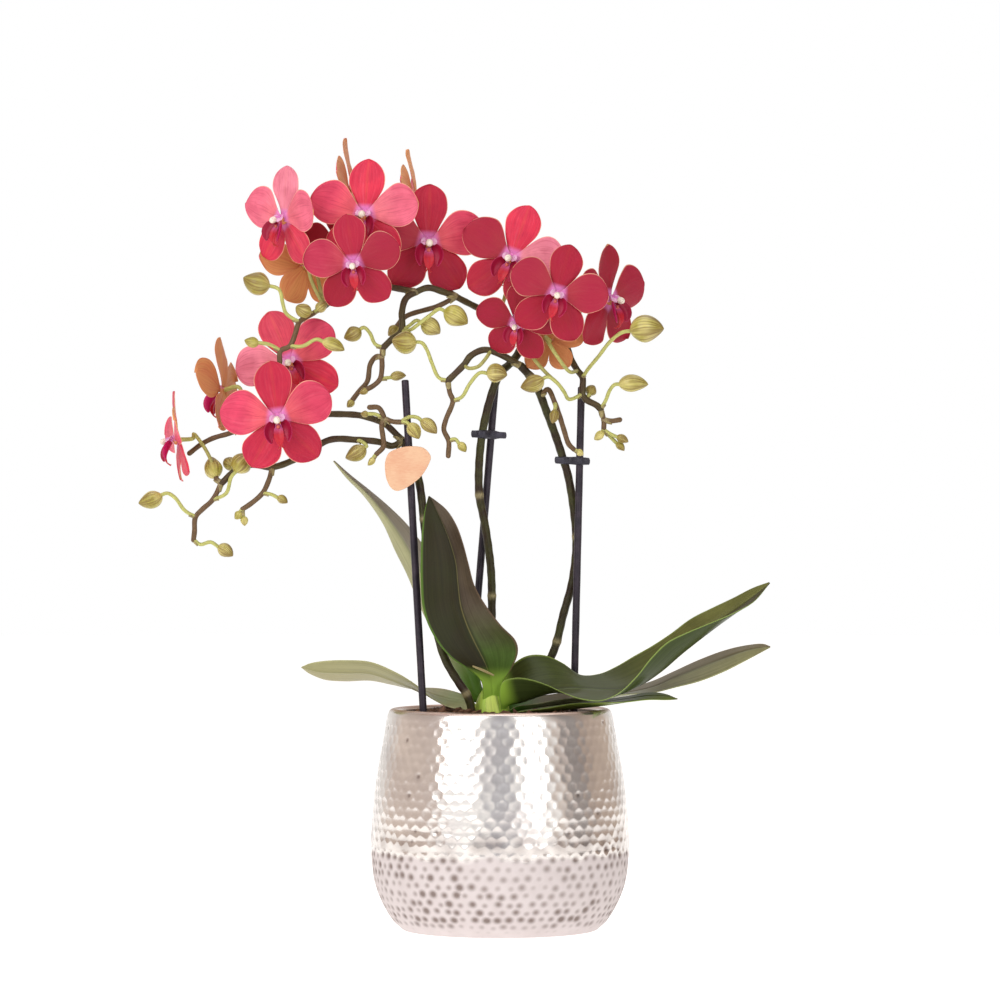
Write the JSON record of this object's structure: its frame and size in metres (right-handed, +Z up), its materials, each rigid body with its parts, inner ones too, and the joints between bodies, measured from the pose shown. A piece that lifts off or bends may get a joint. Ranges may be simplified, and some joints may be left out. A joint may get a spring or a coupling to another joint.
{
  "type": "potted moth orchid",
  "caption": "Moth orchid in flower in a round silver hammered pot, with branching stems clipped to stakes, buds and a bare label.",
  "frame": {"origin": "centre of the pot's foot, on the surface it stands on", "axes": "+Z up, -Y towards the viewer of the front, +X to the viewer's right"},
  "size_m": [0.3161, 0.1289, 0.3966],
  "materials": {
    "pot": "silver metallic glaze, hammered",
    "nursery_pot": "thin dark plastic",
    "bark": "coarse fir bark with moss",
    "crown": "living tissue, smooth",
    "leaves": "living leaf, waxy",
    "stakes": "dark plant stake, satin",
    "clips": "dark moulded plastic",
    "care_label": "uncoated card, bare",
    "spikes": "living stems and buds",
    "petals": "living petals, velvety",
    "lips": "living tissue, satin"
  },
  "bodies": {
    "root": {"pot": "pot", "nursery_pot": "nursery_pot", "bark": "bark", "crown": "crown", "stake_a": "stakes", "stake_b": "stakes", "stake_c": "stakes", "clip_a": "clips", "clip_b": "clips", "clip_c": "clips", "care_label": "care_label", "spike_a": "spikes", "spike_b": "spikes", "spike_c": "spikes", "leaf_front": "leaves", "leaf_back_left": "leaves", "leaf_left": "leaves", "leaf_right": "leaves", "leaf_right_back": "leaves", "leaf_right_low": "leaves", "bloom_01": "petals", "bloom_01_lip": "lips", "bloom_02": "petals", "bloom_02_lip": "lips", "bloom_03": "petals", "bloom_03_lip": "lips", "bloom_04": "petals", "bloom_04_lip": "lips", "bloom_05": "petals", "bloom_05_lip": "lips", "bloom_06": "petals", "bloom_06_lip": "lips", "bloom_07": "petals", "bloom_07_lip": "lips", "bloom_08": "petals", "bloom_08_lip": "lips", "bloom_09": "petals", "bloom_09_lip": "lips", "bloom_10": "petals", "bloom_10_lip": "lips", "bloom_11": "petals", "bloom_11_lip": "lips", "bloom_12": "petals", "bloom_12_lip": "lips", "bloom_13": "petals", "bloom_13_lip": "lips", "bloom_14": "petals", "bloom_14_lip": "lips", "bloom_15": "petals", "bloom_15_lip": "lips", "bloom_16": "petals", "bloom_16_lip": "lips", "bloom_17": "petals", "bloom_17_lip": "lips"}
  },
  "joints": []
}
